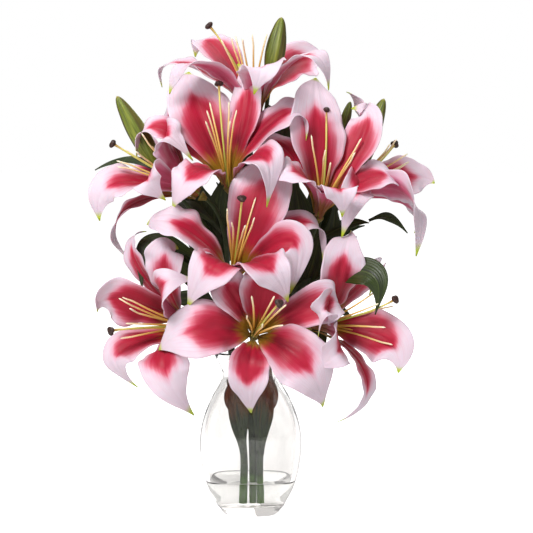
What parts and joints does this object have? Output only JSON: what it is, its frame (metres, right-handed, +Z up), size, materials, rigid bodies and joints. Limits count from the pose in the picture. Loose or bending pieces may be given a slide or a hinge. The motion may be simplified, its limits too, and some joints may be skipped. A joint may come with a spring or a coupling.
{
  "type": "lilies in a vase",
  "caption": "Bouquet of open pink and white stargazer lilies with buds and dark leaves, standing in a clear flattened glass vase with a little water.",
  "frame": {"origin": "middle of the vase's flat foot", "axes": "+Z up along the stems, -Y towards the front of the bouquet, +X to its right"},
  "size_m": [0.3439, 0.2197, 0.4973],
  "materials": {
    "petal": "matte",
    "filament": "satin",
    "pistil": "satin",
    "bud": "satin",
    "stem": "satin",
    "leaf": "satin",
    "glass": "gloss",
    "water": "gloss"
  },
  "bodies": {
    "root": {"vase": "glass", "left_stem": "stem", "middle_stem": "stem", "right_stem": "stem", "centre_bloom_pistil": "pistil", "centre_bloom_stamens": "filament", "centre_bloom_inner_petals": "petal", "centre_bloom_outer_petals": "petal", "front_bloom_pistil": "pistil", "front_bloom_stamens": "filament", "front_bloom_inner_petals": "petal", "front_bloom_outer_petals": "petal", "upper_left_bloom_pistil": "pistil", "upper_left_bloom_stamens": "filament", "upper_left_bloom_inner_petals": "petal", "upper_left_bloom_outer_petals": "petal", "upper_right_bloom_pistil": "pistil", "upper_right_bloom_stamens": "filament", "upper_right_bloom_inner_petals": "petal", "upper_right_bloom_outer_petals": "petal", "far_left_bloom_pistil": "pistil", "far_left_bloom_stamens": "filament", "far_left_bloom_inner_petals": "petal", "far_left_bloom_outer_petals": "petal", "far_right_bloom_pistil": "pistil", "far_right_bloom_stamens": "filament", "far_right_bloom_inner_petals": "petal", "far_right_bloom_outer_petals": "petal", "top_bloom_pistil": "pistil", "top_bloom_stamens": "filament", "top_bloom_inner_petals": "petal", "top_bloom_outer_petals": "petal", "lower_left_bloom_pistil": "pistil", "lower_left_bloom_stamens": "filament", "lower_left_bloom_inner_petals": "petal", "lower_left_bloom_outer_petals": "petal", "lower_right_bloom_pistil": "pistil", "lower_right_bloom_stamens": "filament", "lower_right_bloom_inner_petals": "petal", "lower_right_bloom_outer_petals": "petal", "left_bud": "bud", "top_bud": "bud", "right_bud": "bud", "small_upper_bud": "bud", "small_lower_bud": "bud", "top_left_leaf": "leaf", "top_right_leaf": "leaf", "upper_left_leaf": "leaf", "under_left_leaf": "leaf", "far_left_leaf": "leaf", "middle_left_leaf": "leaf", "lower_left_leaf": "leaf", "centre_right_leaf": "leaf", "upper_right_leaf": "leaf", "folded_right_leaf": "leaf", "middle_right_leaf": "leaf", "lower_right_leaf": "leaf", "neck_left_leaf": "leaf", "neck_right_leaf": "leaf", "water": "water"}
  },
  "joints": []
}
